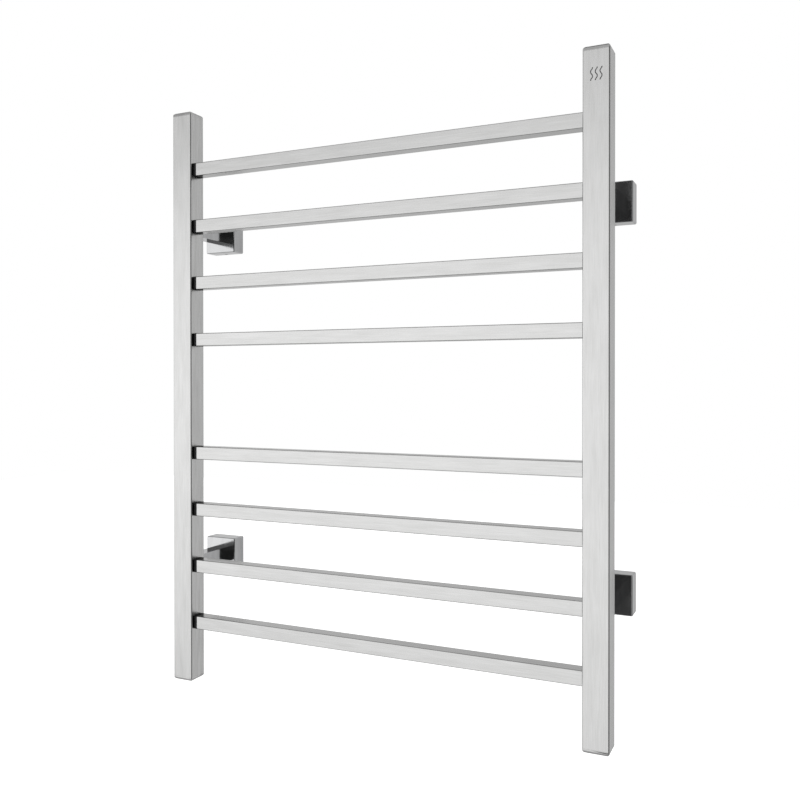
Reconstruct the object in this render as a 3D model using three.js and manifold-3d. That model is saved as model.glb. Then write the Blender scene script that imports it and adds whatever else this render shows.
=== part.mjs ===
// Wall-mounted electric towel warmer: two square posts, eight heated cross bars in two groups of
// four, a plastic collar at each bar's left end, four square wall brackets, and the heating cable
// with its fittings inside. Millimetres, +Z up. The wall is the plane y = 0 and the room is at -y.
// The origin is on the wall, in the middle of the four brackets.
import * as THREE from 'three';
import { mergeVertices } from 'three/addons/utils/BufferGeometryUtils.js';
import Module from 'manifold-3d';

const wasm = await Module();
wasm.setup();

// ---- Driving dimensions ----------------------------------------------------------------------

const RACK_WIDTH = 600;
const RACK_HEIGHT = 800;
const WALL_TO_FRONT = 120; // from the wall to the front of the posts
const FIT = 0.3; // clearance between pieces that seat on each other

const POST_SIDE = 31;
const POST_WALL = 1.2;
const POST_CORNER = 2;

const CAP_THICKNESS = 6;
const CAP_EDGE = 5.5; // rounding of the cap's outer edge
const CAP_SKIRT_LENGTH = 10;
const CAP_SKIRT_WALL = 1.5;

const BARS_PER_GROUP = 4;
const TOP_MARGIN = 81.5; // from the posts' top to the middle of the top bar
const BOTTOM_MARGIN = 83; // from the posts' foot to the middle of the lowest bar
const BAR_DEPTH = 20;
const BAR_HEIGHT = 18;
const BAR_WALL = 1;
const BAR_CORNER = 1.2;

const COLLAR_THICKNESS = 5; // space between a bar's left end and the post
const SPIGOT_LENGTH = 12; // reach of the collar into the bar
const TONGUE_HEIGHT = 12; // the tongue goes through the post's wall
const TONGUE_TO_NUT = 1.5; // space between the tongue and the brackets' nuts inside the post
const LIP_LENGTH = 2; // the lip snaps behind the post's wall
const LIP_OVERHANG = 1.2;

const BRACKET_SPACING = 476; // from the lower brackets to the upper ones
const CUP_SIDE = 50;
const CUP_DEPTH = 24;
const CUP_WALL = 2;
const CUP_CORNER = 2;
const CUP_EDGE = 1.5; // rounding of the cup's front edge
const ARM_SIDE = 22;
const ARM_CORNER = 1;

const PLATE_THICKNESS = 3;
const PLATE_FLANGE_WALL = 2;
const PLATE_FLANGE_REACH = 11; // from the wall to the flange's edge
const WALL_SCREW_RADIUS = 2.6;
const COUNTERSINK_RADIUS = 4.3;
const COUNTERSINK_DEPTH = 1.9;
const PLATE_HOLE_RADIUS = 7;

const BOLT_RADIUS = 6; // the bolt is a tube, so that a cable can pass
const BOLT_BORE_RADIUS = 4.2;
const BOLT_END = 6.8; // reach past the inside of the post's wall
const HEX_RADIUS = 10.4; // across corners, of the bolt's head and the nut
const HEX_THICKNESS = 5;

const GRUB_RADIUS = 2;
const GRUB_LENGTH = 5;
const GRUB_SOCKET_RADIUS = 1.2;
const GRUB_SOCKET_DEPTH = 2;
const GRUB_FROM_WALL = 7;

const GROMMET_BORE_RADIUS = 4;
const GROMMET_FLANGE_RADIUS = 8;
const GROMMET_FLANGE_THICKNESS = 1.5;

const CABLE_RADIUS = 2.5;
const CABLE_BORE_RADIUS = 4; // through the collars and the right post's wall
const CABLE_LEAD_OUT = 1.5; // straight stretch past a collar before the cable bends
const CABLE_WALL_SPACE = 4; // from the return run to the post's walls
const CABLE_BEND_STEPS = 4;
const CABLE_SIDES = 8;

const BLOCK_HEIGHT = 34;
const BLOCK_WALL_SPACE = 2.6; // from the terminal block to the post's walls
const BLOCK_ENTRY_DEPTH = 6; // reach of the cable into the terminal block
const BLOCK_ENTRY_RADIUS = 3.1;
const BLOCK_SCREW_RADIUS = 2;
const BLOCK_SCREW_DEPTH = 4;
const BLOCK_SCREW_PITCH = 7;
const CUTOUT_DEPTH = 6;
const CUTOUT_WIDTH = 14;
const CUTOUT_HEIGHT = 20;
const CUTOUT_CORNER = 1.5;

const EARTH_BELOW_BRACKET = 36;
const EARTH_BASE_RADIUS = 6;
const EARTH_BASE_THICKNESS = 1.2;
const EARTH_NUT_RADIUS = 4;
const EARTH_NUT_THICKNESS = 3;
const EARTH_STUD_RADIUS = 2;
const EARTH_STUD_LENGTH = 8;

const CORNER_STEPS = 1; // each step gives an arc's quarter two facets
const ROUND_SIDES = 12;

// ---- Places worked out from the driving dimensions -------------------------------------------

const POST_X = (RACK_WIDTH - POST_SIDE) / 2;
const POST_Y = -(WALL_TO_FRONT - POST_SIDE / 2);
const POST_INSIDE = POST_SIDE - 2 * POST_WALL;
const POST_BACK = -(WALL_TO_FRONT - POST_SIDE); // y of the posts' rear face
const POST_LENGTH = RACK_HEIGHT - 2 * (CAP_THICKNESS + FIT);
const POST_INNER_X = RACK_WIDTH / 2 - POST_SIDE; // x of the right post's inner face
const BAR_PITCH = (RACK_HEIGHT - TOP_MARGIN - BOTTOM_MARGIN) / (2 * BARS_PER_GROUP);
const POSTS_MIDDLE = (TOP_MARGIN - BOTTOM_MARGIN) / 2; // the posts hang a little below the bars' middle
const BRACKET_Z = BRACKET_SPACING / 2;
const PLATE_SIDE = CUP_SIDE - 2 * (CUP_WALL + FIT);
const TONGUE_DEPTH = POST_INSIDE - 2 * (FIT + HEX_THICKNESS + TONGUE_TO_NUT);

// The wall screws sit midway between the plate's middle hole and its flanges.
const WALL_SCREW_OFFSET = (PLATE_HOLE_RADIUS + PLATE_SIDE / 2 - PLATE_FLANGE_WALL) / 2;

// Bar heights from the top bar down; the place in the middle of the brackets stays empty.
const barHeights = [];
for (let place = BARS_PER_GROUP; place >= -BARS_PER_GROUP; place -= 1) {
  if (place !== 0) barHeights.push(place * BAR_PITCH);
}

const SIDES = [
  { name: 'left', sign: -1 },
  { name: 'right', sign: 1 },
];
const LEVELS = [
  { name: 'upper', sign: 1 },
  { name: 'lower', sign: -1 },
];

// ---- Materials -------------------------------------------------------------------------------

function finish(color, roughness, metalness) {
  return new THREE.MeshStandardMaterial({ color, roughness, metalness });
}

const brushedSteel = finish(0xc4c5c6, 0.34, 1);
const polishedChrome = finish(0xd9dbdd, 0.06, 1);
const zincPlate = finish(0xa9adb2, 0.4, 1);
const blackNylon = finish(0x1b1b1d, 0.6, 0);
const blackRubber = finish(0x151516, 0.85, 0);
const cableJacket = finish(0x8a2f22, 0.7, 0);
const terminalPlastic = finish(0xe6e2d6, 0.5, 0);
const cutoutPlastic = finish(0x2b2f36, 0.4, 0);

// ---- Shapes and solids -----------------------------------------------------------------------

function roundedRect(width, height, radius) {
  const x = width / 2 - radius;
  const y = height / 2 - radius;
  const shape = new THREE.Shape();
  shape.absarc(x, y, radius, 0, Math.PI / 2, false);
  shape.absarc(-x, y, radius, Math.PI / 2, Math.PI, false);
  shape.absarc(-x, -y, radius, Math.PI, 1.5 * Math.PI, false);
  shape.absarc(x, -y, radius, 1.5 * Math.PI, 2 * Math.PI, false);
  return shape;
}

// A rounded rectangular tube's section; the inner corners follow the outer ones at the wall's distance.
function tubeSection(width, height, radius, wall) {
  const shape = roundedRect(width, height, radius);
  const innerRadius = Math.max(radius - wall, 0.3);
  shape.holes.push(roundedRect(width - 2 * wall, height - 2 * wall, innerRadius));
  return shape;
}

function extrude(shape, length) {
  return new THREE.ExtrudeGeometry(shape, {
    depth: length,
    bevelEnabled: false,
    curveSegments: CORNER_STEPS,
  });
}

// Extrusions along each axis from one coordinate to another. Along x the shape's width lies on z
// and its height on y; along y its width lies on x and its height on z.
function alongX(shape, from, to) {
  return extrude(shape, to - from).rotateY(Math.PI / 2).translate(from, 0, 0);
}

function alongY(shape, from, to) {
  return extrude(shape, to - from).rotateX(-Math.PI / 2).translate(0, from, 0);
}

function alongZ(shape, from, to) {
  return extrude(shape, to - from).translate(0, 0, from);
}

function boxFrom(low, high) {
  const size = high.map((value, axis) => value - low[axis]);
  const middle = high.map((value, axis) => (value + low[axis]) / 2);
  return new THREE.BoxGeometry(...size).translate(...middle);
}

// A round rod along y; six sides make it a hexagon.
function rodY(radius, from, to, sides = ROUND_SIDES) {
  const rod = new THREE.CylinderGeometry(radius, radius, to - from, sides);
  return rod.translate(0, (from + to) / 2, 0);
}

function rodX(radius, from, to) {
  return rodY(radius, from, to).rotateZ(-Math.PI / 2);
}

function rodZ(radius, from, to, sides = ROUND_SIDES) {
  return rodY(radius, from, to, sides).rotateX(Math.PI / 2);
}

function solid(geometry) {
  const bare = geometry.clone();
  bare.deleteAttribute('normal');
  bare.deleteAttribute('uv');
  const merged = mergeVertices(bare, 1e-4);
  return new wasm.Manifold(new wasm.Mesh({
    numProp: 3,
    vertProperties: merged.attributes.position.array,
    triVerts: new Uint32Array(merged.index.array),
  }));
}

function geometryOf(body) {
  const made = body.getMesh();
  const geometry = new THREE.BufferGeometry();
  geometry.setAttribute('position', new THREE.BufferAttribute(made.vertProperties, 3));
  geometry.setIndex(new THREE.BufferAttribute(made.triVerts, 1));
  geometry.computeVertexNormals();
  return geometry;
}

function join(...geometries) {
  return geometries.map(solid).reduce((whole, piece) => whole.add(piece));
}

function cut(body, ...geometries) {
  return geometries.map(solid).reduce((rest, tool) => rest.subtract(tool), body);
}

function named(name, geometry, material, x = 0, y = 0, z = 0) {
  const mesh = new THREE.Mesh(geometry, material);
  mesh.name = name;
  mesh.position.set(x, y, z);
  return mesh;
}

// ---- Posts and their end caps ----------------------------------------------------------------

// In the left post's wall each collar's tongue has a slot; in the right post's, the cable has a hole.
function barOpening(side, z) {
  const x = -side.sign * POST_SIDE / 2;
  if (side.sign > 0) {
    return rodX(CABLE_BORE_RADIUS, -2 * POST_WALL, 2 * POST_WALL).translate(x, 0, z);
  }
  const slot = new THREE.BoxGeometry(4 * POST_WALL, TONGUE_DEPTH + 2 * FIT, TONGUE_HEIGHT + 2 * FIT);
  return slot.translate(x, 0, z);
}

// A square tube with an opening at each bar and a hole for each bracket's bolt.
function postGeometry(side) {
  const section = tubeSection(POST_SIDE, POST_SIDE, POST_CORNER, POST_WALL);
  const tube = solid(alongZ(section, -POST_LENGTH / 2, POST_LENGTH / 2));
  const cuts = barHeights.map((z) => barOpening(side, z - POSTS_MIDDLE));
  for (const level of LEVELS) {
    const hole = rodY(BOLT_RADIUS + FIT, POST_SIDE / 2 - 2 * POST_WALL, POST_SIDE / 2 + POST_WALL);
    cuts.push(hole.translate(0, 0, level.sign * BRACKET_Z - POSTS_MIDDLE));
  }
  return geometryOf(cut(tube, ...cuts));
}

// A plate with its outer edges rounded over, and a skirt that plugs into the post; the outside faces
// +z. The plate is what three profiles share: the post's section and a rounded end seen from two sides.
function capGeometry() {
  const half = POST_SIDE / 2;
  const profile = new THREE.Shape();
  profile.moveTo(-half, 0);
  profile.lineTo(half, 0);
  profile.absarc(half - CAP_EDGE, CAP_THICKNESS - CAP_EDGE, CAP_EDGE, 0, Math.PI / 2, false);
  profile.absarc(CAP_EDGE - half, CAP_THICKNESS - CAP_EDGE, CAP_EDGE, Math.PI / 2, Math.PI, false);
  const rounded = () => extrude(profile, 2 * POST_SIDE).translate(0, 0, -POST_SIDE).rotateX(Math.PI / 2);
  const section = alongZ(roundedRect(POST_SIDE, POST_SIDE, POST_CORNER), -1, CAP_THICKNESS + 1);
  const plate = solid(section).intersect(solid(rounded()))
    .intersect(solid(rounded().rotateZ(Math.PI / 2)));
  const skirtSide = POST_INSIDE - 2 * FIT;
  const skirt = alongZ(
    tubeSection(skirtSide, skirtSide, POST_CORNER, CAP_SKIRT_WALL),
    -CAP_SKIRT_LENGTH, CAP_THICKNESS / 2,
  );
  return geometryOf(plate.add(solid(skirt)));
}

function posts() {
  const group = new THREE.Group();
  const cap = capGeometry();
  for (const side of SIDES) {
    const x = side.sign * POST_X;
    group.add(named(`post_${side.name}`, postGeometry(side), brushedSteel, x, POST_Y, POSTS_MIDDLE));
    const capRise = RACK_HEIGHT / 2 - CAP_THICKNESS;
    const topZ = POSTS_MIDDLE + capRise;
    const bottomZ = POSTS_MIDDLE - capRise;
    group.add(named(`cap_top_${side.name}`, cap, brushedSteel, x, POST_Y, topZ));
    const bottom = named(`cap_bottom_${side.name}`, cap, brushedSteel, x, POST_Y, bottomZ);
    bottom.rotation.x = Math.PI;
    group.add(bottom);
  }
  return group;
}

// ---- Bars and their collars ------------------------------------------------------------------

// From the collar on the left to the right post, where the bar stands against the post's wall.
function barGeometry() {
  const section = tubeSection(BAR_HEIGHT, BAR_DEPTH, BAR_CORNER, BAR_WALL);
  return alongX(section, COLLAR_THICKNESS - POST_INNER_X, POST_INNER_X - FIT);
}

// The collar as if at a +x end, with x = 0 on the post's inner face. A spigot goes into the bar, a
// tongue goes through the post's wall, and a lip on the tongue snaps behind it.
function collarGeometry() {
  const insideHeight = BAR_HEIGHT - 2 * (BAR_WALL + FIT);
  const insideDepth = BAR_DEPTH - 2 * (BAR_WALL + FIT);
  const bodyStart = -COLLAR_THICKNESS + FIT;
  const lipStart = POST_WALL + FIT;
  const tongueEnd = lipStart + LIP_LENGTH;
  const lipHeight = TONGUE_HEIGHT + 2 * LIP_OVERHANG;
  const body = alongX(roundedRect(BAR_HEIGHT, BAR_DEPTH, BAR_CORNER), bodyStart, -FIT);
  const spigot = boxFrom(
    [-COLLAR_THICKNESS - SPIGOT_LENGTH, -insideDepth / 2, -insideHeight / 2],
    [bodyStart + FIT, insideDepth / 2, insideHeight / 2],
  );
  const tongue = boxFrom(
    [-2 * FIT, -TONGUE_DEPTH / 2, -TONGUE_HEIGHT / 2],
    [tongueEnd, TONGUE_DEPTH / 2, TONGUE_HEIGHT / 2],
  );
  const lip = boxFrom(
    [lipStart, -TONGUE_DEPTH / 2, -lipHeight / 2],
    [tongueEnd, TONGUE_DEPTH / 2, lipHeight / 2],
  );
  const bore = rodX(CABLE_BORE_RADIUS, -COLLAR_THICKNESS - SPIGOT_LENGTH - 1, tongueEnd + 1);
  return geometryOf(cut(join(body, spigot, tongue, lip), bore));
}

function bars() {
  const group = new THREE.Group();
  const bar = barGeometry();
  const collar = collarGeometry();
  barHeights.forEach((z, index) => {
    group.add(named(`bar_${index + 1}`, bar, brushedSteel, 0, POST_Y, z));
    const mesh = named(`collar_left_${index + 1}`, collar, blackNylon, -POST_INNER_X, POST_Y, z);
    mesh.rotation.z = Math.PI;
    group.add(mesh);
  });
  return group;
}

// ---- Wall brackets ---------------------------------------------------------------------------
// Each bracket's own frame has its origin on the wall, behind the middle of the arm.

// A square cup, open at the wall, with a hole for the bolt in front and one for the grub screw below.
function cupGeometry() {
  const block = new THREE.ExtrudeGeometry(roundedRect(CUP_SIDE, CUP_SIDE, CUP_CORNER), {
    depth: 2 * (CUP_DEPTH - CUP_EDGE),
    bevelThickness: CUP_EDGE,
    bevelSize: CUP_EDGE,
    bevelOffset: -CUP_EDGE,
    bevelSegments: 2,
    curveSegments: CORNER_STEPS,
  }).translate(0, 0, CUP_EDGE - CUP_DEPTH).rotateX(-Math.PI / 2);
  const behind = boxFrom([-CUP_SIDE, 0, -CUP_SIDE], [CUP_SIDE, 2 * CUP_DEPTH, CUP_SIDE]);
  const hollowSide = CUP_SIDE - 2 * CUP_WALL;
  const hollow = alongY(roundedRect(hollowSide, hollowSide, 0.5), CUP_WALL - CUP_DEPTH, CUP_DEPTH);
  const boltHole = rodY(BOLT_RADIUS + FIT, -CUP_DEPTH - 1, 0);
  const grubHole = rodZ(GRUB_RADIUS + FIT, -CUP_SIDE / 2 - 1, -CUP_SIDE / 2 + CUP_WALL + 1);
  grubHole.translate(0, -GRUB_FROM_WALL, 0);
  return geometryOf(cut(solid(block), behind, hollow, boltHole, grubHole));
}

function armGeometry() {
  const bar = alongY(roundedRect(ARM_SIDE, ARM_SIDE, ARM_CORNER), POST_BACK + FIT, -CUP_DEPTH - FIT);
  const bore = rodY(BOLT_RADIUS + FIT, POST_BACK - 1, 0);
  return geometryOf(cut(solid(bar), bore));
}

// The plate that is screwed to the wall. Its upper and lower flanges carry the cup.
function plateGeometry() {
  const half = PLATE_SIDE / 2;
  const plate = boxFrom([-half, -PLATE_THICKNESS, -half], [half, 0, half]);
  const flanges = LEVELS.map((level) => {
    const edges = [level.sign * half, level.sign * (half - PLATE_FLANGE_WALL)].sort((a, b) => a - b);
    return boxFrom([-half, -PLATE_FLANGE_REACH, edges[0]], [half, 0, edges[1]]);
  });
  const cuts = [rodY(PLATE_HOLE_RADIUS, -PLATE_THICKNESS - 1, 1)];
  for (const level of LEVELS) {
    const z = level.sign * WALL_SCREW_OFFSET;
    cuts.push(rodY(WALL_SCREW_RADIUS, -PLATE_THICKNESS - 1, 1).translate(0, 0, z));
    const cone = new THREE.CylinderGeometry(
      WALL_SCREW_RADIUS, COUNTERSINK_RADIUS, COUNTERSINK_DEPTH, ROUND_SIDES,
    );
    cuts.push(cone.translate(0, COUNTERSINK_DEPTH / 2 - PLATE_THICKNESS, z));
  }
  const grubHole = rodZ(GRUB_RADIUS + FIT, -half - 1, -half + PLATE_FLANGE_WALL + 1);
  cuts.push(grubHole.translate(0, -GRUB_FROM_WALL, 0));
  return geometryOf(cut(join(plate, ...flanges), ...cuts));
}

// A hollow bolt that pulls the cup, the arm and the post together, with its head inside the cup.
function boltGeometry() {
  const headFront = CUP_WALL - CUP_DEPTH + FIT;
  const end = POST_BACK - POST_WALL - BOLT_END;
  const shank = rodY(BOLT_RADIUS, end, headFront + 1);
  const head = rodY(HEX_RADIUS, headFront, headFront + HEX_THICKNESS, 6);
  return geometryOf(cut(join(shank, head), rodY(BOLT_BORE_RADIUS, end - 1, 0)));
}

function nutGeometry() {
  const face = POST_BACK - POST_WALL - FIT;
  const hex = rodY(HEX_RADIUS, face - HEX_THICKNESS, face, 6);
  return geometryOf(cut(solid(hex), rodY(BOLT_RADIUS + FIT, face - HEX_THICKNESS - 1, face + 1)));
}

function grubGeometry() {
  const low = -CUP_SIDE / 2 + FIT;
  const screw = rodZ(GRUB_RADIUS, low, low + GRUB_LENGTH);
  const socket = rodZ(GRUB_SOCKET_RADIUS, low - 1, low + GRUB_SOCKET_DEPTH, 6);
  return geometryOf(cut(solid(screw), socket));
}

// The rubber ring in the wall plate where the supply cable leaves; its rear is flush with the plate.
function grommetGeometry() {
  const neck = PLATE_HOLE_RADIUS - FIT;
  const flangeBack = -PLATE_THICKNESS - FIT;
  const flangeFront = flangeBack - GROMMET_FLANGE_THICKNESS;
  const profile = [
    [GROMMET_BORE_RADIUS, flangeFront],
    [GROMMET_FLANGE_RADIUS, flangeFront],
    [GROMMET_FLANGE_RADIUS, flangeBack],
    [neck, flangeBack],
    [neck, -FIT],
    [GROMMET_BORE_RADIUS, -FIT],
    [GROMMET_BORE_RADIUS, flangeFront],
  ];
  const points = profile.map(([radius, y]) => new THREE.Vector2(radius, y));
  return geometryOf(solid(new THREE.LatheGeometry(points, ROUND_SIDES)));
}

function brackets() {
  const group = new THREE.Group();
  const cup = cupGeometry();
  const arm = armGeometry();
  const plate = plateGeometry();
  const bolt = boltGeometry();
  const nut = nutGeometry();
  const grub = grubGeometry();
  for (const level of LEVELS) {
    for (const side of SIDES) {
      const corner = `${level.name}_${side.name}`;
      const bracket = new THREE.Group();
      bracket.position.set(side.sign * POST_X, 0, level.sign * BRACKET_Z);
      bracket.add(named(`cup_${corner}`, cup, polishedChrome));
      bracket.add(named(`arm_${corner}`, arm, polishedChrome));
      bracket.add(named(`wall_plate_${corner}`, plate, zincPlate));
      bracket.add(named(`bracket_bolt_${corner}`, bolt, zincPlate));
      bracket.add(named(`bracket_nut_${corner}`, nut, zincPlate));
      bracket.add(named(`grub_screw_${corner}`, grub, zincPlate, 0, -GRUB_FROM_WALL));
      if (level.sign < 0 && side.sign > 0) {
        bracket.add(named('cable_grommet', grommetGeometry(), blackRubber));
      }
      group.add(bracket);
    }
  }
  return group;
}

// ---- Heating cable and its fittings ----------------------------------------------------------

const POSTS_FOOT = POSTS_MIDDLE - RACK_HEIGHT / 2;
const BLOCK_TOP = POSTS_FOOT + CAP_THICKNESS + CAP_SKIRT_LENGTH + FIT + BLOCK_HEIGHT;
const RETURN_OFFSET = POST_INSIDE / 2 - CABLE_RADIUS - CABLE_WALL_SPACE;
const RETURN_X = POST_X + RETURN_OFFSET;
const RETURN_Y = POST_Y - RETURN_OFFSET;

// A path through stations that are already placed, so its sections stand where the bends need them.
class StationPath extends THREE.Curve {
  constructor(stations) {
    super();
    this.stations = stations;
  }

  getPoint(t) {
    const place = t * (this.stations.length - 1);
    const index = Math.min(Math.floor(place), this.stations.length - 2);
    return this.stations[index].clone().lerp(this.stations[index + 1], place - index);
  }

  getPointAt(u) {
    return this.getPoint(u);
  }

  getTangentAt(u) {
    return this.getTangent(u);
  }
}

// Stations along straight runs between corners, with each corner rounded to the bend's reach.
function roundedStations(corners, reach) {
  const stations = [corners[0]];
  for (let i = 1; i < corners.length - 1; i += 1) {
    const before = corners[i - 1].clone().sub(corners[i]);
    const after = corners[i + 1].clone().sub(corners[i]);
    const start = corners[i].clone().add(before.setLength(Math.min(reach, before.length() / 2)));
    const end = corners[i].clone().add(after.setLength(Math.min(reach, after.length() / 2)));
    const bend = new THREE.QuadraticBezierCurve3(start, corners[i], end);
    stations.push(...bend.getPoints(CABLE_BEND_STEPS));
  }
  stations.push(corners[corners.length - 1]);
  return stations;
}

// The cable starts in the terminal block, runs to and fro through the bars from the lowest to the
// top one, and comes back down the right post beside the cross-overs.
function cableCorners() {
  const end = BLOCK_TOP - BLOCK_ENTRY_DEPTH;
  const corners = [new THREE.Vector3(POST_X, POST_Y, end)];
  [...barHeights].reverse().forEach((z, index) => {
    const from = index % 2 === 0 ? POST_X : -POST_X;
    const last = index === barHeights.length - 1;
    corners.push(new THREE.Vector3(from, POST_Y, z));
    corners.push(new THREE.Vector3(last ? RETURN_X : -from, POST_Y, z));
  });
  const top = barHeights[0];
  corners.push(new THREE.Vector3(RETURN_X, POST_Y, top - BAR_PITCH / 3));
  corners.push(new THREE.Vector3(RETURN_X, RETURN_Y, top - BAR_PITCH * 0.6));
  corners.push(new THREE.Vector3(RETURN_X, RETURN_Y, end));
  return corners;
}

function cableGeometry() {
  const bend = POST_SIDE / 2 - POST_WALL - FIT - LIP_LENGTH - CABLE_LEAD_OUT;
  const stations = roundedStations(cableCorners(), bend);
  const section = new THREE.Shape();
  section.absarc(0, 0, CABLE_RADIUS, 0, 2 * Math.PI, false);
  return new THREE.ExtrudeGeometry(section, {
    steps: stations.length - 1,
    extrudePath: new StationPath(stations),
    curveSegments: CABLE_SIDES / 2,
  });
}

// The terminal block stands on the lower cap's skirt in the right post. It has an entry for each end
// of the cable and a row of screw wells in front; the thermal cut-out stands behind it.
function blockGeometry() {
  const half = POST_INSIDE / 2 - BLOCK_WALL_SPACE;
  const back = half - CUTOUT_DEPTH - 2 * FIT;
  const body = boxFrom([-half, -half, -BLOCK_HEIGHT], [half, back, 0]);
  const entries = [[0, 0], [RETURN_OFFSET, -RETURN_OFFSET]].map(([x, y]) => (
    rodZ(BLOCK_ENTRY_RADIUS, -BLOCK_ENTRY_DEPTH - FIT, 1).translate(x, y, 0)
  ));
  const wells = [-1, 0, 1].map((step) => (
    rodY(BLOCK_SCREW_RADIUS, -half - 1, -half + BLOCK_SCREW_DEPTH)
      .translate(step * BLOCK_SCREW_PITCH, 0, -0.7 * BLOCK_HEIGHT)
  ));
  return geometryOf(cut(solid(body), ...entries, ...wells));
}

function cutoutGeometry() {
  const back = POST_INSIDE / 2 - BLOCK_WALL_SPACE;
  const section = roundedRect(CUTOUT_WIDTH, CUTOUT_HEIGHT, CUTOUT_CORNER);
  return alongY(section, back - CUTOUT_DEPTH, back);
}

// The earth stud on the inside of the right post's rear wall, with its tag and nut.
function earthGeometry() {
  const stud = rodY(EARTH_STUD_RADIUS, -EARTH_STUD_LENGTH, 0);
  const base = rodY(EARTH_BASE_RADIUS, -EARTH_BASE_THICKNESS, 0);
  const nutEnd = -EARTH_BASE_THICKNESS - EARTH_NUT_THICKNESS;
  const nut = rodY(EARTH_NUT_RADIUS, nutEnd, -EARTH_BASE_THICKNESS / 2, 6);
  return geometryOf(join(stud, base, nut));
}

function heating() {
  const group = new THREE.Group();
  group.add(named('heating_cable', cableGeometry(), cableJacket));
  group.add(named('terminal_block', blockGeometry(), terminalPlastic, POST_X, POST_Y, BLOCK_TOP));
  const cutoutZ = BLOCK_TOP - BLOCK_HEIGHT / 2;
  group.add(named('thermal_cutout', cutoutGeometry(), cutoutPlastic, POST_X, POST_Y, cutoutZ));
  const earthY = POST_BACK - POST_WALL - FIT;
  const earthZ = -BRACKET_Z - EARTH_BELOW_BRACKET;
  group.add(named('earth_stud', earthGeometry(), zincPlate, POST_X, earthY, earthZ));
  return group;
}

// ---- The whole rack --------------------------------------------------------------------------

const towelWarmer = new THREE.Group();
towelWarmer.add(posts(), bars(), brackets(), heating());

export default towelWarmer;
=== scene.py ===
from math import radians

import bmesh
import bpy
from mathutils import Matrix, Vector


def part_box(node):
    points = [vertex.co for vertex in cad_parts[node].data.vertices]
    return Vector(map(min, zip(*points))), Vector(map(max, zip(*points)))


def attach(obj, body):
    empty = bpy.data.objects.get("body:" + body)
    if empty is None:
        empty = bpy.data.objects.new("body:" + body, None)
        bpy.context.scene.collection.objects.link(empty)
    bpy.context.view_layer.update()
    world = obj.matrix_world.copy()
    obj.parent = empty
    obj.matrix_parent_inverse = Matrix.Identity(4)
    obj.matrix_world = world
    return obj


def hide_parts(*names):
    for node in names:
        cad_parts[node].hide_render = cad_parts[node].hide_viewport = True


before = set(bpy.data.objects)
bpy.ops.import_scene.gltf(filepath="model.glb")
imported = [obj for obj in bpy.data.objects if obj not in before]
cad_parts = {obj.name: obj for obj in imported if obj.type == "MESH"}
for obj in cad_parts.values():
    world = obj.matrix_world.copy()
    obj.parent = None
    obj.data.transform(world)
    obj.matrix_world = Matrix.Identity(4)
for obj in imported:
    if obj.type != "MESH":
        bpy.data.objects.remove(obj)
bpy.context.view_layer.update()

# Wall-mounted towel warmer: two square posts, eight cross bars and four wall brackets, in metres.
# The wall is the plane y = 0, the room is at -y, and +Z is up.

MM = 0.001
SIDES = ("left", "right")
LEVELS = ("upper", "lower")
CORNERS = tuple(f"{level}_{side}" for level in LEVELS for side in SIDES)
BAR_COUNT = 8

HAIRLINE = 0.05 * MM       # what is left of the clearance at a ground or pressed joint
CLEARANCE = 0.3 * MM       # between CAD parts that are welded, ground flush or pressed together

POST_CORNER = 2 * MM
POST_WALL = 1.2 * MM
SLOT_DEPTH = 14.6 * MM     # along y, for a collar's tongue
SLOT_HEIGHT = 12.6 * MM
CABLE_HOLE_RADIUS = 4 * MM
BOLT_HOLE_RADIUS = 6.3 * MM

CAP_PLATE = 6 * MM
CAP_ROUNDING = 5.5 * MM
CAP_SKIRT_GAP = 1.5 * MM   # from the post's outside to the skirt's
CAP_SKIRT_WALL = 1.5 * MM
CAP_FLOOR_DROP = 0.5 * MM  # how far the hollow stops below the plate

BAR_CORNER = 1.2 * MM
BAR_WALL = 1 * MM

COLLAR_BODY = 4.4 * MM
COLLAR_EDGE = 0.35 * MM
SPIGOT_SHOULDER = 1.3 * MM
TONGUE_SHOULDER = 3 * MM
LIP_LENGTH = 2 * MM
LIP_OVERHANG = 1.2 * MM
COLLAR_BORE_REACH = 60 * MM

CUP_CORNER = 2 * MM
CUP_EDGE = 1.5 * MM
CUP_WALL = 2 * MM
GRUB_HOLE_RADIUS = 2.3 * MM
GRUB_FROM_WALL = 7 * MM
ARM_CORNER = 1 * MM

PLATE_THICKNESS = 3 * MM
PLATE_FLANGE = 2 * MM
PLATE_HOLE_RADIUS = 7 * MM
WALL_SCREW_RADIUS = 2.6 * MM
PLATE_HOLE_REACH = 12 * MM
WALL_SCREW_OFFSET = 13.85 * MM
COUNTERSINK_RADIUS = 4.3 * MM
COUNTERSINK_DEPTH = 1.9 * MM
TOOL_OVERSHOOT = 1 * MM    # a cutter starts this far outside the face that it cuts

BOLT_RADIUS = 6 * MM
BOLT_BORE_RADIUS = 4.2 * MM
HEX_RADIUS = 10.4 * MM
HEX_THICKNESS = 5 * MM
HEX_CHAMFER = 0.6 * MM
SHANK_SHORT = 1 * MM       # from the shank's end to the outer face of the hex head
GRUB_SOCKET_RADIUS = 1.2 * MM
GRUB_SOCKET_DEPTH = 2 * MM
GRUB_FOOT_ROUNDING = 0.3 * MM
GRUB_POINT_ROUNDING = 0.5 * MM

GROMMET_FLANGE = 1.5 * MM
GROMMET_SHOULDER = 1.3 * MM
GROMMET_BORE_RADIUS = 4 * MM
GROMMET_ROUNDING = 0.4 * MM

ROUND_SIDES = 48
SMOOTH_BELOW = radians(32) # edges sharper than this stay crisp
LINED_UP = 0.999           # cosine that counts as facing or running the same way
MERGE_WITHIN = 0.002 * MM


# ---- Camera, light and floor -----------------------------------------------------------------

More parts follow.
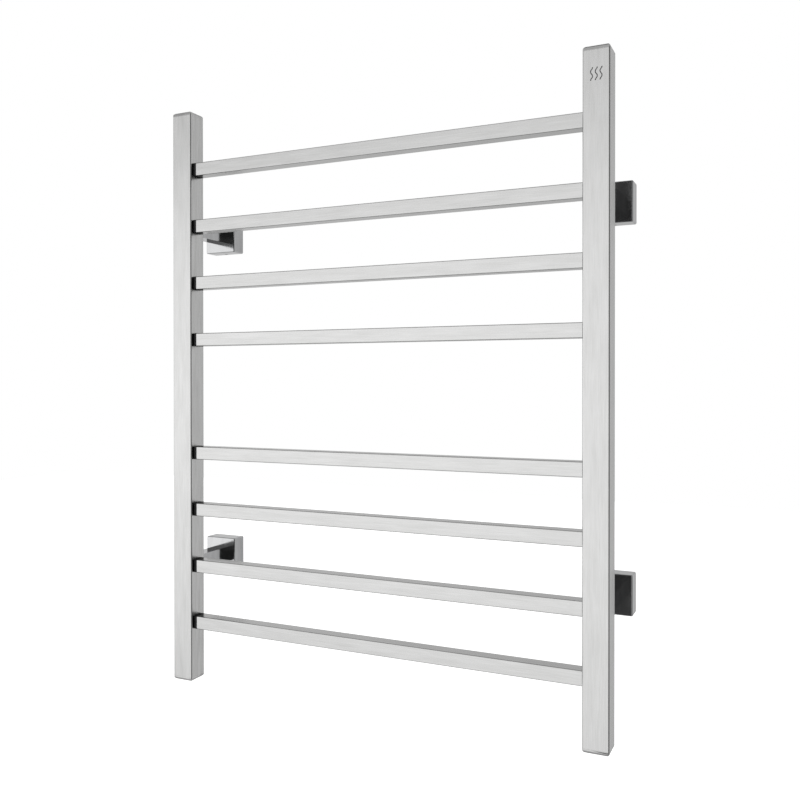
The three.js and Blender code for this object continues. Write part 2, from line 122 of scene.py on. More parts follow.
EYE = (0.4919, -1.1812, 0.0238)
LOOK_DOWN = radians(0.405)
LOOK_LEFT = radians(27.337)
LEAN = radians(0.057)
FLOOR_SIZE = 12
FLOOR_HEIGHT = -0.9


def make_camera():
    data = bpy.data.cameras.new("camera")
    data.lens = 41.586
    data.sensor_width = 36
    data.shift_x = 0.0924
    data.shift_y = -0.0178
    data.clip_start = 0.01
    camera = bpy.data.objects.new("camera", data)
    bpy.context.scene.collection.objects.link(camera)
    camera.location = EYE
    camera.rotation_euler = (radians(90) - LOOK_DOWN, LEAN, LOOK_LEFT)
    bpy.context.scene.camera = camera


def math_node(tree, operation, first, second=None):
    node = tree.nodes.new("ShaderNodeMath")
    node.operation = operation
    for socket, value in zip(node.inputs, (first, second)):
        if isinstance(value, bpy.types.NodeSocket):
            tree.links.new(value, socket)
        elif value is not None:
            socket.default_value = value
    return node.outputs[0]


def map_range(tree, value, from_low, from_high, to_low, to_high):
    node = tree.nodes.new("ShaderNodeMapRange")
    node.inputs["From Min"].default_value = from_low
    node.inputs["From Max"].default_value = from_high
    node.inputs["To Min"].default_value = to_low
    node.inputs["To Max"].default_value = to_high
    tree.links.new(value, node.inputs["Value"])
    return node.outputs["Result"]


def pass_over(tree, share, first, second):
    """The first value where the share is 0, and the second where it is 1."""
    node = tree.nodes.new("ShaderNodeMix")
    tree.links.new(share, node.inputs["Factor"])
    tree.links.new(first, node.inputs["A"])
    tree.links.new(second, node.inputs["B"])
    return node.outputs["Result"]


def brightness_by_angle(tree, angle, half_turn, stops):
    """A brightness that follows an angle in degrees through (angle, brightness) stops."""
    place = map_range(tree, angle, -radians(half_turn), radians(half_turn), 0, 1)
    curve = tree.nodes.new("ShaderNodeFloatCurve")
    points = curve.mapping.curves[0].points
    top = max(brightness for _, brightness in stops)
    spots = [((degrees + half_turn) / (2 * half_turn), level / top) for degrees, level in stops]
    points[0].location = spots[0]
    points[-1].location = spots[-1]
    for spot in spots[1:-1]:
        points.new(*spot)
    for point in points:
        point.handle_type = "AUTO_CLAMPED"
    curve.mapping.update()
    tree.links.new(place, curve.inputs["Value"])
    return math_node(tree, "MULTIPLY", curve.outputs["Value"], top)


# Brightness of the studio by direction: 0 degrees is straight out from the wall, and the angle
# grows to the right, seen from the room. A wide softbox stands in front to the left, a dark room
# opens in front to the right, and pale walls are behind.
ROUND_THE_HORIZON = (
    (-180, 0.52), (-165, 0.58), (-145, 0.66), (-120, 0.74), (-90, 0.90), (-70, 1.15), (-40, 1.31),
    (-15, 1.28), (-2, 1.15), (5, 0.80), (12, 0.34), (22, 0.20), (60, 0.20), (76, 0.26), (90, 0.42),
    (105, 0.54), (130, 0.72), (139, 0.84), (147.5, 0.50), (156, 0.84), (168, 0.52), (180, 0.50),
)
UP_THE_SOFTBOX_LEFT = (
    (-90, 0.50), (-60, 0.46), (-38, 0.50), (-18, 0.74), (0, 1.0), (16, 0.61), (36, 0.36),
    (60, 0.44), (90, 0.52),
)
UP_THE_SOFTBOX_RIGHT = (
    (-90, 0.50), (-60, 0.48), (-38, 0.60), (-19, 0.93), (0, 1.0), (19, 0.76), (38, 0.44),
    (60, 0.46), (90, 0.52),
)
UP_THE_WALLS = (
    (-90, 0.20), (-60, 0.35), (-30, 0.90), (0, 1.0), (30, 0.90), (60, 0.40), (90, 0.25),
)
SECOND_REFLECTION = 0.14   # share of the studio's light that is left after a second reflection


def make_studio():
    world = bpy.data.worlds.new("studio")
    bpy.context.scene.world = world
    world.use_nodes = True
    tree = world.node_tree
    tree.nodes.clear()
    direction = tree.nodes.new("ShaderNodeTexCoord").outputs["Generated"]
    split = tree.nodes.new("ShaderNodeSeparateXYZ")
    tree.links.new(direction, split.inputs[0])
    x, y, z = split.outputs
    toward_room = math_node(tree, "MULTIPLY", y, -1)
    around = math_node(tree, "ARCTAN2", x, toward_room)
    up = math_node(tree, "ARCSINE", z)
    horizon = brightness_by_angle(tree, around, 180, ROUND_THE_HORIZON)
    softbox_left = brightness_by_angle(tree, up, 90, UP_THE_SOFTBOX_LEFT)
    softbox_right = brightness_by_angle(tree, up, 90, UP_THE_SOFTBOX_RIGHT)
    to_the_right = map_range(tree, around, radians(-36), radians(-12), 0, 1)
    softbox = pass_over(tree, to_the_right, softbox_left, softbox_right)
    walls = brightness_by_angle(tree, up, 90, UP_THE_WALLS)
    in_front = map_range(tree, toward_room, -0.25, 0.25, 0, 1)
    fall_off = pass_over(tree, in_front, walls, softbox)
    once_reflected = math_node(tree, "MULTIPLY", horizon, fall_off)
    light_path = tree.nodes.new("ShaderNodeLightPath")
    shade = map_range(tree, light_path.outputs["Ray Depth"], 2, 3, 1, SECOND_REFLECTION)
    level = math_node(tree, "MULTIPLY", once_reflected, shade)
    studio = tree.nodes.new("ShaderNodeBackground")
    studio.inputs["Color"].default_value = (1, 1, 1, 1)
    tree.links.new(level, studio.inputs["Strength"])
    backdrop = tree.nodes.new("ShaderNodeBackground")
    backdrop.inputs["Strength"].default_value = 1.0
    backdrop.inputs["Color"].default_value = (1, 1, 1, 1)
    mix = tree.nodes.new("ShaderNodeMixShader")
    tree.links.new(light_path.outputs["Is Camera Ray"], mix.inputs[0])
    tree.links.new(studio.outputs[0], mix.inputs[1])
    tree.links.new(backdrop.outputs[0], mix.inputs[2])
    output = tree.nodes.new("ShaderNodeOutputWorld")
    tree.links.new(mix.outputs[0], output.inputs[0])


def make_floor():
    lay_tools_down()
    bpy.ops.mesh.primitive_plane_add(size=FLOOR_SIZE, location=(0, 0, FLOOR_HEIGHT))
    floor = bpy.context.object
    floor.name = "floor"
    settle(floor)
    floor.visible_glossy = False
    floor.visible_diffuse = False
    floor.visible_shadow = False
    material = bpy.data.materials.new("pale_floor")
    material.use_nodes = True
    shader = material.node_tree.nodes["Principled BSDF"]
    shader.inputs["Base Color"].default_value = (0.9, 0.9, 0.9, 1)
    shader.inputs["Roughness"].default_value = 0.9
    shader.inputs["Emission Color"].default_value = (1, 1, 1, 1)
    shader.inputs["Emission Strength"].default_value = 0.9
    floor.data.materials.append(material)


# ---- Hand tools ------------------------------------------------------------------------------

def lay_tools_down():
    if bpy.context.mode != "OBJECT":
        bpy.ops.object.mode_set(mode="OBJECT")
    bpy.ops.object.select_all(action="DESELECT")


def take(piece):
    lay_tools_down()
    piece.select_set(True)
    bpy.context.view_layer.objects.active = piece


def settle(piece):
    """Puts the piece's place, turn and size into its mesh."""
    take(piece)
    bpy.ops.object.transform_apply(location=True, rotation=True, scale=True)


def block(name, low, high):
    lay_tools_down()
    low = Vector(low)
    high = Vector(high)
    bpy.ops.mesh.primitive_cube_add(size=1, location=(low + high) / 2, scale=high - low)
    piece = bpy.context.object
    piece.name = name
    settle(piece)
    return piece


TURN_TO_AXIS = {"x": (0, radians(90), 0), "y": (radians(90), 0, 0), "z": (0, 0, 0)}


def rod(name, axis, middle, radius, length, sides=ROUND_SIDES):
    lay_tools_down()
    bpy.ops.mesh.primitive_cylinder_add(
        vertices=sides, radius=radius, depth=length, location=middle, rotation=TURN_TO_AXIS[axis],
    )
    piece = bpy.context.object
    piece.name = name
    settle(piece)
    return piece


def open_mesh(piece, kind):
    """Opens the piece in edit mode with nothing selected, and returns its mesh."""
    take(piece)
    bpy.ops.object.mode_set(mode="EDIT")
    bpy.ops.mesh.select_mode(type=kind)
    bpy.ops.mesh.select_all(action="DESELECT")
    return bmesh.from_edit_mesh(piece.data)


def pick_faces(piece, wanted):
    mesh = open_mesh(piece, "FACE")
    mesh.normal_update()
    for face in mesh.faces:
        if wanted(face):
            face.select_set(True)
    bmesh.update_edit_mesh(piece.data)


def pick_edges(piece, wanted):
    mesh = open_mesh(piece, "EDGE")
    mesh.normal_update()
    for edge in mesh.edges:
        if wanted(edge):
            edge.select_set(True)
    bmesh.update_edit_mesh(piece.data)


def faces_toward(direction, test=None):
    direction = Vector(direction)

    def wanted(face):
        if face.normal.dot(direction) < LINED_UP:
            return False
        return test is None or test(face.calc_center_median())

    return wanted


def edges_along(axis):
    index = "xyz".index(axis)

    def wanted(edge):
        run = edge.verts[1].co - edge.verts[0].co
        return abs(run[index]) > LINED_UP * run.length

    return wanted


def rim_of(direction, test=None):
    """Edges between a face that looks in the direction and one that doesn't."""
    looks = faces_toward(direction, test)

    def wanted(edge):
        return len(edge.link_faces) == 2 and sum(looks(face) for face in edge.link_faces) == 1

    return wanted


def round_edges(piece, wanted, radius, steps):
    pick_edges(piece, wanted)
    bpy.ops.mesh.bevel(offset=radius, segments=steps, affect="EDGES", clamp_overlap=True)
    lay_tools_down()


def set_in(piece, wanted, margin):
    """Insets the wanted faces one by one; the inner faces stay selected in edit mode."""
    pick_faces(piece, wanted)
    bpy.ops.mesh.inset(thickness=margin, depth=0, use_individual=True)


def draw_out(shift):
    bpy.ops.mesh.extrude_region_move(TRANSFORM_OT_translate={"value": Vector(shift)})


def use_modifier(piece, kind, **settings):
    take(piece)
    modifier = piece.modifiers.new(kind.lower(), kind)
    for key, value in settings.items():
        setattr(modifier, key, value)
    bpy.ops.object.modifier_apply(modifier=modifier.name)


def throw_away(piece):
    mesh = piece.data
    bpy.data.objects.remove(piece)
    if mesh.users == 0:
        bpy.data.meshes.remove(mesh)


def weld_cutters(cutters):
    take(cutters[0])
    for cutter in cutters[1:]:
        cutter.select_set(True)
    if len(cutters) > 1:
        bpy.ops.object.join()
    return cutters[0]


def cut_with(piece, cutters):
    cutter = weld_cutters(cutters)
    use_modifier(piece, "BOOLEAN", operation="DIFFERENCE", object=cutter, solver="MANIFOLD")
    throw_away(cutter)


def combine(piece, other, operation):
    use_modifier(piece, "BOOLEAN", operation=operation, object=other, solver="MANIFOLD")
    throw_away(other)


def clean(piece):
    take(piece)
    bpy.ops.object.mode_set(mode="EDIT")
    bpy.ops.mesh.select_all(action="SELECT")
    bpy.ops.mesh.remove_doubles(threshold=MERGE_WITHIN)
    bpy.ops.mesh.normals_make_consistent(inside=False)
    lay_tools_down()


def smooth(piece):
    clean(piece)
    take(piece)
    bpy.ops.object.shade_smooth_by_angle(angle=SMOOTH_BELOW)
    use_modifier(piece, "WEIGHTED_NORMAL", weight=100, keep_sharp=True)


def copy_of(piece, name, shift, flip_axis=None, about=0.0):
    """A copy with its own mesh, moved, or first flipped about a plane across one axis."""
    take(piece)
    bpy.ops.object.duplicate(linked=False)
    twin = bpy.context.object
    twin.name = name
    if flip_axis is not None:
        index = "xyz".index(flip_axis)
        twin.scale[index] = -1
        twin.location[index] = 2 * about
    twin.location += Vector(shift)
    settle(twin)
    clean(twin)
    return twin


def fit_in(piece, node, finish):
    """Gives the piece its finish, and lets it stand for its CAD node."""
    piece.data.materials.clear()
    piece.data.materials.append(finish)
    stand_for(piece, node)


def stand_for(piece, node):
    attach(piece, "root")
    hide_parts(node)


def square_tube(name, low, high, axis, corner, wall):
    piece = block(name, low, high)
    round_edges(piece, edges_along(axis), corner, 5)
    direction = Vector([float(letter == axis) for letter in "xyz"])
    ends = lambda face: abs(face.normal.dot(direction)) > LINED_UP
    set_in(piece, ends, wall)
    bpy.ops.mesh.bridge_edge_loops()
    lay_tools_down()
    return piece


# ---- Finishes --------------------------------------------------------------------------------

def new_finish(name, metallic):
    material = bpy.data.materials.new(name)
    material.use_nodes = True
    shader = material.node_tree.nodes["Principled BSDF"]
    shader.inputs["Metallic"].default_value = metallic
    return material, material.node_tree, shader


def grain(tree, stretch, scale, detail, roughness=0.55):
    """Noise on the piece's own coordinates, drawn out along one axis by the stretch."""
    coordinates = tree.nodes.new("ShaderNodeTexCoord").outputs["Object"]
    mapping = tree.nodes.new("ShaderNodeMapping")
    mapping.inputs["Scale"].default_value = stretch
    noise = tree.nodes.new("ShaderNodeTexNoise")
    noise.inputs["Scale"].default_value = scale
    noise.inputs["Detail"].default_value = detail
    noise.inputs["Roughness"].default_value = roughness
    tree.links.new(coordinates, mapping.inputs["Vector"])
    tree.links.new(mapping.outputs["Vector"], noise.inputs["Vector"])
    return noise.outputs["Fac"]


def tint(tree, shader, value, dark, light):
    ramp = tree.nodes.new("ShaderNodeValToRGB")
    ramp.color_ramp.elements[0].position = 0.3
    ramp.color_ramp.elements[0].color = (*dark, 1)
    ramp.color_ramp.elements[1].position = 0.7
    ramp.color_ramp.elements[1].color = (*light, 1)
    tree.links.new(value, ramp.inputs["Fac"])
    tree.links.new(ramp.outputs["Color"], shader.inputs["Base Color"])


def gloss(tree, shader, value, low, high):
    tree.links.new(map_range(tree, value, 0.3, 0.7, low, high), shader.inputs["Roughness"])


def relief(tree, shader, value, depth):
    bump = tree.nodes.new("ShaderNodeBump")
    bump.inputs["Strength"].default_value = 0.6
    bump.inputs["Distance"].default_value = depth
    tree.links.new(value, bump.inputs["Height"])
    tree.links.new(bump.outputs["Normal"], shader.inputs["Normal"])


def blend_values(tree, first, second, share):
    kept = math_node(tree, "MULTIPLY", first, 1 - share)
    added = math_node(tree, "MULTIPLY", second, share)
    return math_node(tree, "ADD", kept, added)


def brushed_steel(name, along):
    """Satin steel: brush lines along one axis, broad cloudy streaks and faint finger marks."""
    material, tree, shader = new_finish(name, 1.0)
    fine_run = [1.0, 1.0, 1.0]
    broad_run = [1.0, 1.0, 1.0]
    fine_run["xyz".index(along)] = 0.015
    broad_run["xyz".index(along)] = 0.12
    lines = grain(tree, fine_run, 1500, 3, 0.6)
    streaks = grain(tree, broad_run, 170, 3, 0.6)
    marks = grain(tree, (1, 1, 1), 28, 3)
    shade = blend_values(tree, lines, streaks, 0.55)
    tint(tree, shader, shade, (0.54, 0.54, 0.535), (0.66, 0.66, 0.658))
    gloss(tree, shader, blend_values(tree, streaks, marks, 0.5), 0.19, 0.27)
    relief(tree, shader, lines, 0.008 * MM)
    return material


def polished_chrome():
    """Bright plate with a faint waviness, wiping marks and hairline scratches."""
    material, tree, shader = new_finish("polished_chrome", 1.0)
    wiping = grain(tree, (1, 1, 0.3), 90, 4)
    hairlines = grain(tree, (1, 0.06, 1), 1800, 2)
    wave = grain(tree, (1, 1, 1), 60, 1)
    tint(tree, shader, wiping, (0.55, 0.552, 0.56), (0.615, 0.62, 0.625))
    gloss(tree, shader, blend_values(tree, wiping, hairlines, 0.3), 0.07, 0.16)
    relief(tree, shader, blend_values(tree, hairlines, wave, 0.6), 0.02 * MM)
    return material


def etched_steel():
    """The matt bottom of an etched groove."""
    material, tree, shader = new_finish("etched_steel", 1.0)
    pits = grain(tree, (1, 1, 1), 2600, 3)
    tint(tree, shader, pits, (0.17, 0.17, 0.175), (0.28, 0.28, 0.28))
    gloss(tree, shader, pits, 0.55, 0.75)
    relief(tree, shader, pits, 0.03 * MM)
    return material


def zinc_plate():
    """Dull blue-grey plating with cloudy spangle and tool marks."""
    material, tree, shader = new_finish("zinc_plate", 1.0)
    spangle = grain(tree, (1, 1, 1), 240, 4, 0.65)
    marks = grain(tree, (1, 0.1, 1), 900, 2)
    tint(tree, shader, spangle, (0.46, 0.47, 0.49), (0.62, 0.63, 0.66))
    gloss(tree, shader, spangle, 0.34, 0.5)
    relief(tree, shader, marks, 0.015 * MM)
    return material


def moulded(name, dark, light, rough_low, rough_high, texture_scale, depth):
    """A moulded plastic or rubber: slight unevenness of colour and a fine mould texture."""
    material, tree, shader = new_finish(name, 0.0)
    cloud = grain(tree, (1, 1, 1), 120, 3)
    texture = grain(tree, (1, 1, 1), texture_scale, 3)
    tint(tree, shader, cloud, dark, light)
    gloss(tree, shader, blend_values(tree, cloud, texture, 0.5), rough_low, rough_high)
    relief(tree, shader, texture, depth)
    return material


# ---- Posts and caps --------------------------------------------------------------------------

WAVE_HEIGHT = 15 * MM
WAVE_SWING = 1.1 * MM
WAVE_GAP = 5.2 * MM
WAVE_LINE = 0.68 * MM       # radius of the round tool that cuts a groove
WAVE_TOOL_PROUD = 0.36 * MM
EMBLEM_BELOW_TOP = 33 * MM


def wave_tool(name, x, y, z, finish):
    """A round tool bent into one rising heat wave."""
    lay_tools_down()
    bpy.ops.curve.primitive_bezier_curve_add(location=(x, y, z))
    tool = bpy.context.object
    tool.name = name
    curve = tool.data
    curve.dimensions = "3D"
    line = curve.splines[0].bezier_points
    line.add(2)
    steps = len(line) - 1
    for number, point in enumerate(line):
        swing = WAVE_SWING if number % 2 else -WAVE_SWING
        rise = (number / steps - 0.5) * WAVE_HEIGHT
        reach = WAVE_HEIGHT / (2.4 * steps)
        point.handle_left_type = "FREE"
        point.handle_right_type = "FREE"
        point.co = (swing, 0, rise)
        point.handle_left = (swing, 0, rise - reach)
        point.handle_right = (swing, 0, rise + reach)
    curve.resolution_u = 10
    curve.bevel_depth = WAVE_LINE
    curve.bevel_resolution = 3
    curve.use_fill_caps = True
    bpy.ops.object.convert(target="MESH")
    settle(tool)
    clean(tool)
    tool.data.materials.append(finish)
    tool.data.materials.append(finish)
    for face in tool.data.polygons:
        face.material_index = 1
    return tool


def etch_heat_waves(post, etched):
    low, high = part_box("post_right")
    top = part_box("cap_top_right")[1].z
    middle_x = (low.x + high.x) / 2
    for number in (-1, 0, 1):
        tool = wave_tool(
            "wave_tool", middle_x + number * WAVE_GAP, low.y - WAVE_TOOL_PROUD,
            top - EMBLEM_BELOW_TOP, etched,
        )
        cut_with(post, [tool])


def bar_middles():
    found = []
    for number in range(1, BAR_COUNT + 1):
        low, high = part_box(f"bar_{number}")
        found.append((low + high) / 2)
    return found


def bracket_middles(side):
    found = []
    for level in LEVELS:
        low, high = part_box(f"arm_{level}_{side}")
        found.append((low + high) / 2)
    return found


def make_post(side, steel, etched):
    low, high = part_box(f"post_{side}")
    reach = Vector((0, 0, CLEARANCE - HAIRLINE))
    post = square_tube(f"steel_post_{side}", low - reach, high + reach, "z", POST_CORNER, POST_WALL)
    post.data.materials.append(steel)
    post.data.materials.append(etched)
    inner_x = high.x if side == "left" else low.x
    tools = []
    for middle in bar_middles():
        if side == "left":
            half = Vector((2 * POST_WALL, SLOT_DEPTH / 2, SLOT_HEIGHT / 2))
            spot = Vector((inner_x, middle.y, middle.z))
            tools.append(block("slot_tool", spot - half, spot + half))
        else:
            spot = (inner_x, middle.y, middle.z)
            tools.append(rod("hole_tool", "x", spot, CABLE_HOLE_RADIUS, 4 * POST_WALL))
    for middle in bracket_middles(side):
        spot = (middle.x, high.y, middle.z)
        tools.append(rod("hole_tool", "y", spot, BOLT_HOLE_RADIUS, 4 * POST_WALL))
    cut_with(post, tools)
    if side == "right":
        etch_heat_waves(post, etched)
    smooth(post)
    stand_for(post, f"post_{side}")


def make_cap(steel):
    """The right post's top cap: a plate with rounded edges, and a hollow skirt that plugs in."""
    low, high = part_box("cap_top_right")
    foot = high.z - CAP_PLATE
    plate_low = Vector((low.x, low.y, foot))
    plate = block("steel_cap_top_right", plate_low, high)
    round_edges(plate, edges_along("z"), POST_CORNER, 5)
    pillow = block("pillow", plate_low - Vector((0, 0, CAP_PLATE)), high)
    round_edges(pillow, rim_of((0, 0, 1)), CAP_ROUNDING, 6)
    combine(plate, pillow, "INTERSECT")
    set_in(plate, faces_toward((0, 0, -1)), CAP_SKIRT_GAP)
    draw_out((0, 0, low.z - foot))
    bpy.ops.mesh.inset(thickness=CAP_SKIRT_WALL, depth=0)
    draw_out((0, 0, foot - low.z - CAP_FLOOR_DROP))
    smooth(plate)
    return plate


def make_caps(steel):
    first = make_cap(steel)
    low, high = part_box("cap_top_right")
    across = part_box("cap_top_left")[0] - low
    halfway = (high.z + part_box("cap_bottom_right")[0].z) / 2
    fit_in(first, "cap_top_right", steel)
    spots = (
        ("cap_top_left", across, None),
        ("cap_bottom_right", Vector(), "z"),
        ("cap_bottom_left", across, "z"),
    )
    for node, shift, flip in spots:
        cap = copy_of(first, f"steel_{node}", shift, flip, halfway)
        fit_in(cap, node, steel)


# ---- Bars and collars ------------------------------------------------------------------------

def make_bars(steel):
    low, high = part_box("bar_1")
    reach = Vector((CLEARANCE - HAIRLINE, 0, 0))
    first = square_tube("steel_bar_1", low, high + reach, "x", BAR_CORNER, BAR_WALL)
    smooth(first)
    fit_in(first, "bar_1", steel)
    for number in range(2, BAR_COUNT + 1):
        node = f"bar_{number}"
        bar = copy_of(first, f"steel_{node}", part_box(node)[0] - low)
        fit_in(bar, node, steel)


def make_collar():
    """A body between bar and post, a spigot in the bar and a snap tongue in the post's wall."""
    low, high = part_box("collar_left_1")
    bar_low, bar_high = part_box("bar_1")
    body_high = Vector((bar_low.x - HAIRLINE, bar_high.y, bar_high.z))
    body_low = Vector((bar_low.x - CLEARANCE - COLLAR_BODY, bar_low.y, bar_low.z))
    collar = block("nylon_collar_1", body_low, body_high)
    round_edges(collar, edges_along("x"), BAR_CORNER, 5)
    round_edges(collar, rim_of((-1, 0, 0)), COLLAR_EDGE, 2)
    set_in(collar, faces_toward((1, 0, 0)), SPIGOT_SHOULDER)
    draw_out((high.x - body_high.x, 0, 0))
    set_in(collar, faces_toward((-1, 0, 0)), TONGUE_SHOULDER - COLLAR_EDGE)
    draw_out((low.x + LIP_LENGTH - body_low.x, 0, 0))
    draw_out((-LIP_LENGTH, 0, 0))
    lip = lambda middle: middle.x < low.x + LIP_LENGTH
    for up in (1, -1):
        pick_faces(collar, faces_toward((0, 0, up), lip))
        draw_out((0, 0, up * LIP_OVERHANG))
    middle = (body_low + body_high) / 2
    cut_with(collar, [rod("bore_tool", "x", middle, CABLE_HOLE_RADIUS, COLLAR_BORE_REACH)])
    smooth(collar)
    return collar


def make_collars(nylon):
    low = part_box("collar_left_1")[0]
    first = make_collar()
    fit_in(first, "collar_left_1", nylon)
    for number in range(2, BAR_COUNT + 1):
        node = f"collar_left_{number}"
        collar = copy_of(first, f"nylon_collar_{number}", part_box(node)[0] - low)
        fit_in(collar, node, nylon)


# ---- Wall brackets ---------------------------------------------------------------------------
# Each piece is made at the upper right bracket and copied to the other three.

def copy_to_corners(first, prefix, node_prefix, finish):
    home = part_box(f"{node_prefix}_upper_right")[0]
    for corner in CORNERS:
        node = f"{node_prefix}_{corner}"
        if corner == "upper_right":
            piece = first
        else:
            piece = copy_of(first, f"{prefix}_{corner}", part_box(node)[0] - home)
        fit_in(piece, node, finish)


def make_cups(chrome):
    low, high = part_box("cup_upper_right")
    middle = (low + high) / 2
    cup = block("chrome_cup_upper_right", low, high)
    round_edges(cup, edges_along("y"), CUP_CORNER, 6)
    round_edges(cup, rim_of((0, -1, 0)), CUP_EDGE, 5)
    set_in(cup, faces_toward((0, 1, 0)), CUP_WALL)
    draw_out((0, low.y + CUP_WALL - high.y, 0))
    front = (middle.x, low.y, middle.z)
    bolt_hole = rod("hole_tool", "y", front, BOLT_HOLE_RADIUS, 3 * CUP_WALL)
    grub_spot = (middle.x, high.y - GRUB_FROM_WALL, low.z)
    grub_hole = rod("hole_tool", "z", grub_spot, GRUB_HOLE_RADIUS, 3 * CUP_WALL)
    cut_with(cup, [bolt_hole, grub_hole])
    smooth(cup)
    copy_to_corners(cup, "chrome_cup", "cup", chrome)


def make_arms(chrome):
    low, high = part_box("arm_upper_right")
    reach = Vector((0, CLEARANCE - HAIRLINE, 0))
    arm = block("chrome_arm_upper_right", low - reach, high + reach)
    round_edges(arm, edges_along("y"), ARM_CORNER, 4)
    middle = (low + high) / 2
    cut_with(arm, [rod("bore_tool", "y", middle, BOLT_HOLE_RADIUS, 2 * (high.y - low.y))])
    smooth(arm)
    copy_to_corners(arm, "chrome_arm", "arm", chrome)


def screw_hole_tools(x, front, z):
    """Tools for a wall screw's hole and its countersink in the plate's front."""
    hole = rod("hole_tool", "y", (x, front, z), WALL_SCREW_RADIUS, 4 * PLATE_THICKNESS)
    sink = rod(
        "sink_tool", "y", (x, front + COUNTERSINK_DEPTH / 2, z), COUNTERSINK_RADIUS,
        COUNTERSINK_DEPTH,
    )
    pick_faces(sink, faces_toward((0, 1, 0)))
    shrink = WALL_SCREW_RADIUS / COUNTERSINK_RADIUS
    bpy.ops.transform.resize(
        value=(shrink, 1, shrink), center_override=(x, front + COUNTERSINK_DEPTH, z),
    )
    pick_faces(sink, faces_toward((0, -1, 0)))
    draw_out((0, -TOOL_OVERSHOOT, 0))
    lay_tools_down()
    return hole, sink


def make_wall_plates(zinc):
    low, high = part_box("wall_plate_upper_right")
    middle = (low + high) / 2
    front = high.y - PLATE_THICKNESS
    plate = block("zinc_plate_upper_right", (low.x, front, low.z), high)
    for z in (low.z + PLATE_FLANGE, high.z - PLATE_FLANGE):
        open_mesh(plate, "FACE")
        bpy.ops.mesh.select_all(action="SELECT")
        bpy.ops.mesh.bisect(plane_co=(middle.x, front, z), plane_no=(0, 0, 1))
        lay_tools_down()
    for up in (1, -1):
        strip = lambda spot: up * (spot.z - middle.z) > (high.z - low.z) / 2 - PLATE_FLANGE
        pick_faces(plate, faces_toward((0, -1, 0), strip))
        draw_out((0, low.y - front, 0))
    lay_tools_down()
    hole_spot = (middle.x, front, middle.z)
    tools = [rod("hole_tool", "y", hole_spot, PLATE_HOLE_RADIUS, PLATE_HOLE_REACH)]
    sinks = []
    for up in (1, -1):
        hole, sink = screw_hole_tools(middle.x, front, middle.z + up * WALL_SCREW_OFFSET)
        tools.append(hole)
        sinks.append(sink)
    grub_spot = (middle.x, high.y - GRUB_FROM_WALL, low.z)
    tools.append(rod("hole_tool", "z", grub_spot, GRUB_HOLE_RADIUS, 3 * PLATE_FLANGE))
    cut_with(plate, sinks)
    cut_with(plate, tools)
    smooth(plate)
    copy_to_corners(plate, "zinc_plate", "wall_plate", zinc)


def hex_blank(name, x, y, z):
    blank = rod(name, "y", (x, y, z), HEX_RADIUS, HEX_THICKNESS, sides=6)
    round_edges(blank, rim_of((0, -1, 0)), HEX_CHAMFER, 1)
    round_edges(blank, rim_of((0, 1, 0)), HEX_CHAMFER, 1)
    round_edges(blank, edges_along("y"), HEX_CHAMFER / 3, 2)
    return blank


def make_bolts(zinc):
    low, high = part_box("bracket_bolt_upper_right")
    middle = (low + high) / 2
    length = high.y - low.y
    bolt = hex_blank("zinc_bolt_upper_right", middle.x, high.y - HEX_THICKNESS / 2, middle.z)
    shank_length = length - SHANK_SHORT
    shank = rod(
        "shank", "y", (middle.x, low.y + shank_length / 2, middle.z), BOLT_RADIUS, shank_length,
    )
    round_edges(shank, rim_of((0, -1, 0)), HEX_CHAMFER, 2)
    combine(bolt, shank, "UNION")
    cut_with(bolt, [rod("bore_tool", "y", middle, BOLT_BORE_RADIUS, 2 * length)])
    smooth(bolt)
    copy_to_corners(bolt, "zinc_bolt", "bracket_bolt", zinc)


def make_nuts(zinc):
    low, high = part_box("bracket_nut_upper_right")
    middle = (low + high) / 2
    nut = hex_blank("zinc_nut_upper_right", *middle)
    cut_with(nut, [rod("bore_tool", "y", middle, BOLT_HOLE_RADIUS, 3 * HEX_THICKNESS)])
    smooth(nut)
    copy_to_corners(nut, "zinc_nut", "bracket_nut", zinc)


def make_grub_screws(zinc):
    low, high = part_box("grub_screw_upper_right")
    middle = (low + high) / 2
    radius = (high.y - low.y) / 2
    screw = rod("zinc_grub_screw_upper_right", "z", middle, radius, high.z - low.z, sides=24)
    round_edges(screw, rim_of((0, 0, -1)), GRUB_FOOT_ROUNDING, 2)
    round_edges(screw, rim_of((0, 0, 1)), GRUB_POINT_ROUNDING, 2)
    spot = (middle.x, middle.y, low.z)
    cut_with(screw, [rod("socket_tool", "z", spot, GRUB_SOCKET_RADIUS, 2 * GRUB_SOCKET_DEPTH, 6)])
    smooth(screw)
    copy_to_corners(screw, "zinc_grub_screw", "grub_screw", zinc)


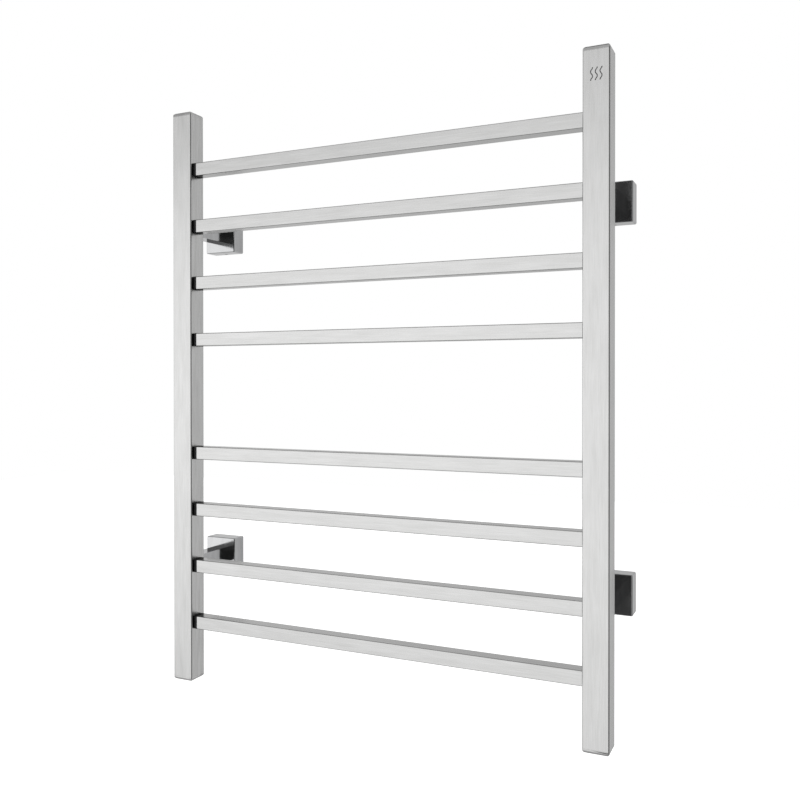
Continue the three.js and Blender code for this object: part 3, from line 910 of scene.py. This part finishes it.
def make_grommet(rubber):
    low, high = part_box("cable_grommet")
    middle = (low + high) / 2
    radius = (high.x - low.x) / 2
    back = low.y + GROMMET_FLANGE
    grommet = rod(
        "rubber_grommet", "y", (middle.x, (low.y + back) / 2, middle.z), radius, GROMMET_FLANGE,
    )
    set_in(grommet, faces_toward((0, 1, 0)), GROMMET_SHOULDER)
    draw_out((0, high.y - back, 0))
    bpy.ops.mesh.inset(thickness=radius - GROMMET_SHOULDER - GROMMET_BORE_RADIUS, depth=0)
    bpy.ops.mesh.select_all(action="DESELECT")
    set_in(grommet, faces_toward((0, -1, 0)), radius - GROMMET_BORE_RADIUS)
    centre = lambda face: abs(face.normal.y) > LINED_UP and len(face.verts) == ROUND_SIDES
    pick_faces(grommet, centre)
    bpy.ops.mesh.bridge_edge_loops()
    lay_tools_down()
    outer = lambda edge: rim_of((0, -1, 0))(edge) and edge.calc_length() > 2 * GROMMET_ROUNDING
    round_edges(grommet, outer, GROMMET_ROUNDING, 3)
    smooth(grommet)
    fit_in(grommet, "cable_grommet", rubber)


# ---- The heating's own parts, kept from the CAD ----------------------------------------------

def dress(node, finish):
    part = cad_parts[node]
    part.data.materials.clear()
    part.data.materials.append(finish)


def dress_heating(zinc):
    jacket = moulded(
        "cable_jacket", (0.22, 0.04, 0.025), (0.33, 0.07, 0.045), 0.5, 0.7, 1400, 0.04 * MM,
    )
    ivory = moulded(
        "terminal_plastic", (0.68, 0.65, 0.57), (0.8, 0.77, 0.69), 0.4, 0.55, 900, 0.02 * MM,
    )
    slate = moulded(
        "cutout_plastic", (0.02, 0.024, 0.032), (0.04, 0.046, 0.056), 0.32, 0.5, 1100, 0.02 * MM,
    )
    dress("heating_cable", jacket)
    dress("terminal_block", ivory)
    dress("thermal_cutout", slate)
    dress("earth_stud", zinc)


# ---- The whole rack --------------------------------------------------------------------------

def build_rack():
    upright_steel = brushed_steel("upright_steel", "z")
    bar_steel = brushed_steel("bar_steel", "x")
    chrome = polished_chrome()
    zinc = zinc_plate()
    nylon = moulded(
        "black_nylon", (0.010, 0.010, 0.011), (0.022, 0.022, 0.024), 0.42, 0.6, 1600, 0.02 * MM,
    )
    rubber = moulded(
        "black_rubber", (0.010, 0.010, 0.011), (0.024, 0.024, 0.025), 0.7, 0.9, 1300, 0.03 * MM,
    )
    etched = etched_steel()
    for side in SIDES:
        make_post(side, upright_steel, etched)
    make_caps(upright_steel)
    make_bars(bar_steel)
    make_collars(nylon)
    make_cups(chrome)
    make_arms(chrome)
    make_wall_plates(zinc)
    make_bolts(zinc)
    make_nuts(zinc)
    make_grub_screws(zinc)
    make_grommet(rubber)
    dress_heating(zinc)


bpy.context.scene.view_settings.view_transform = "Standard"
make_camera()
make_studio()
make_floor()
build_rack()
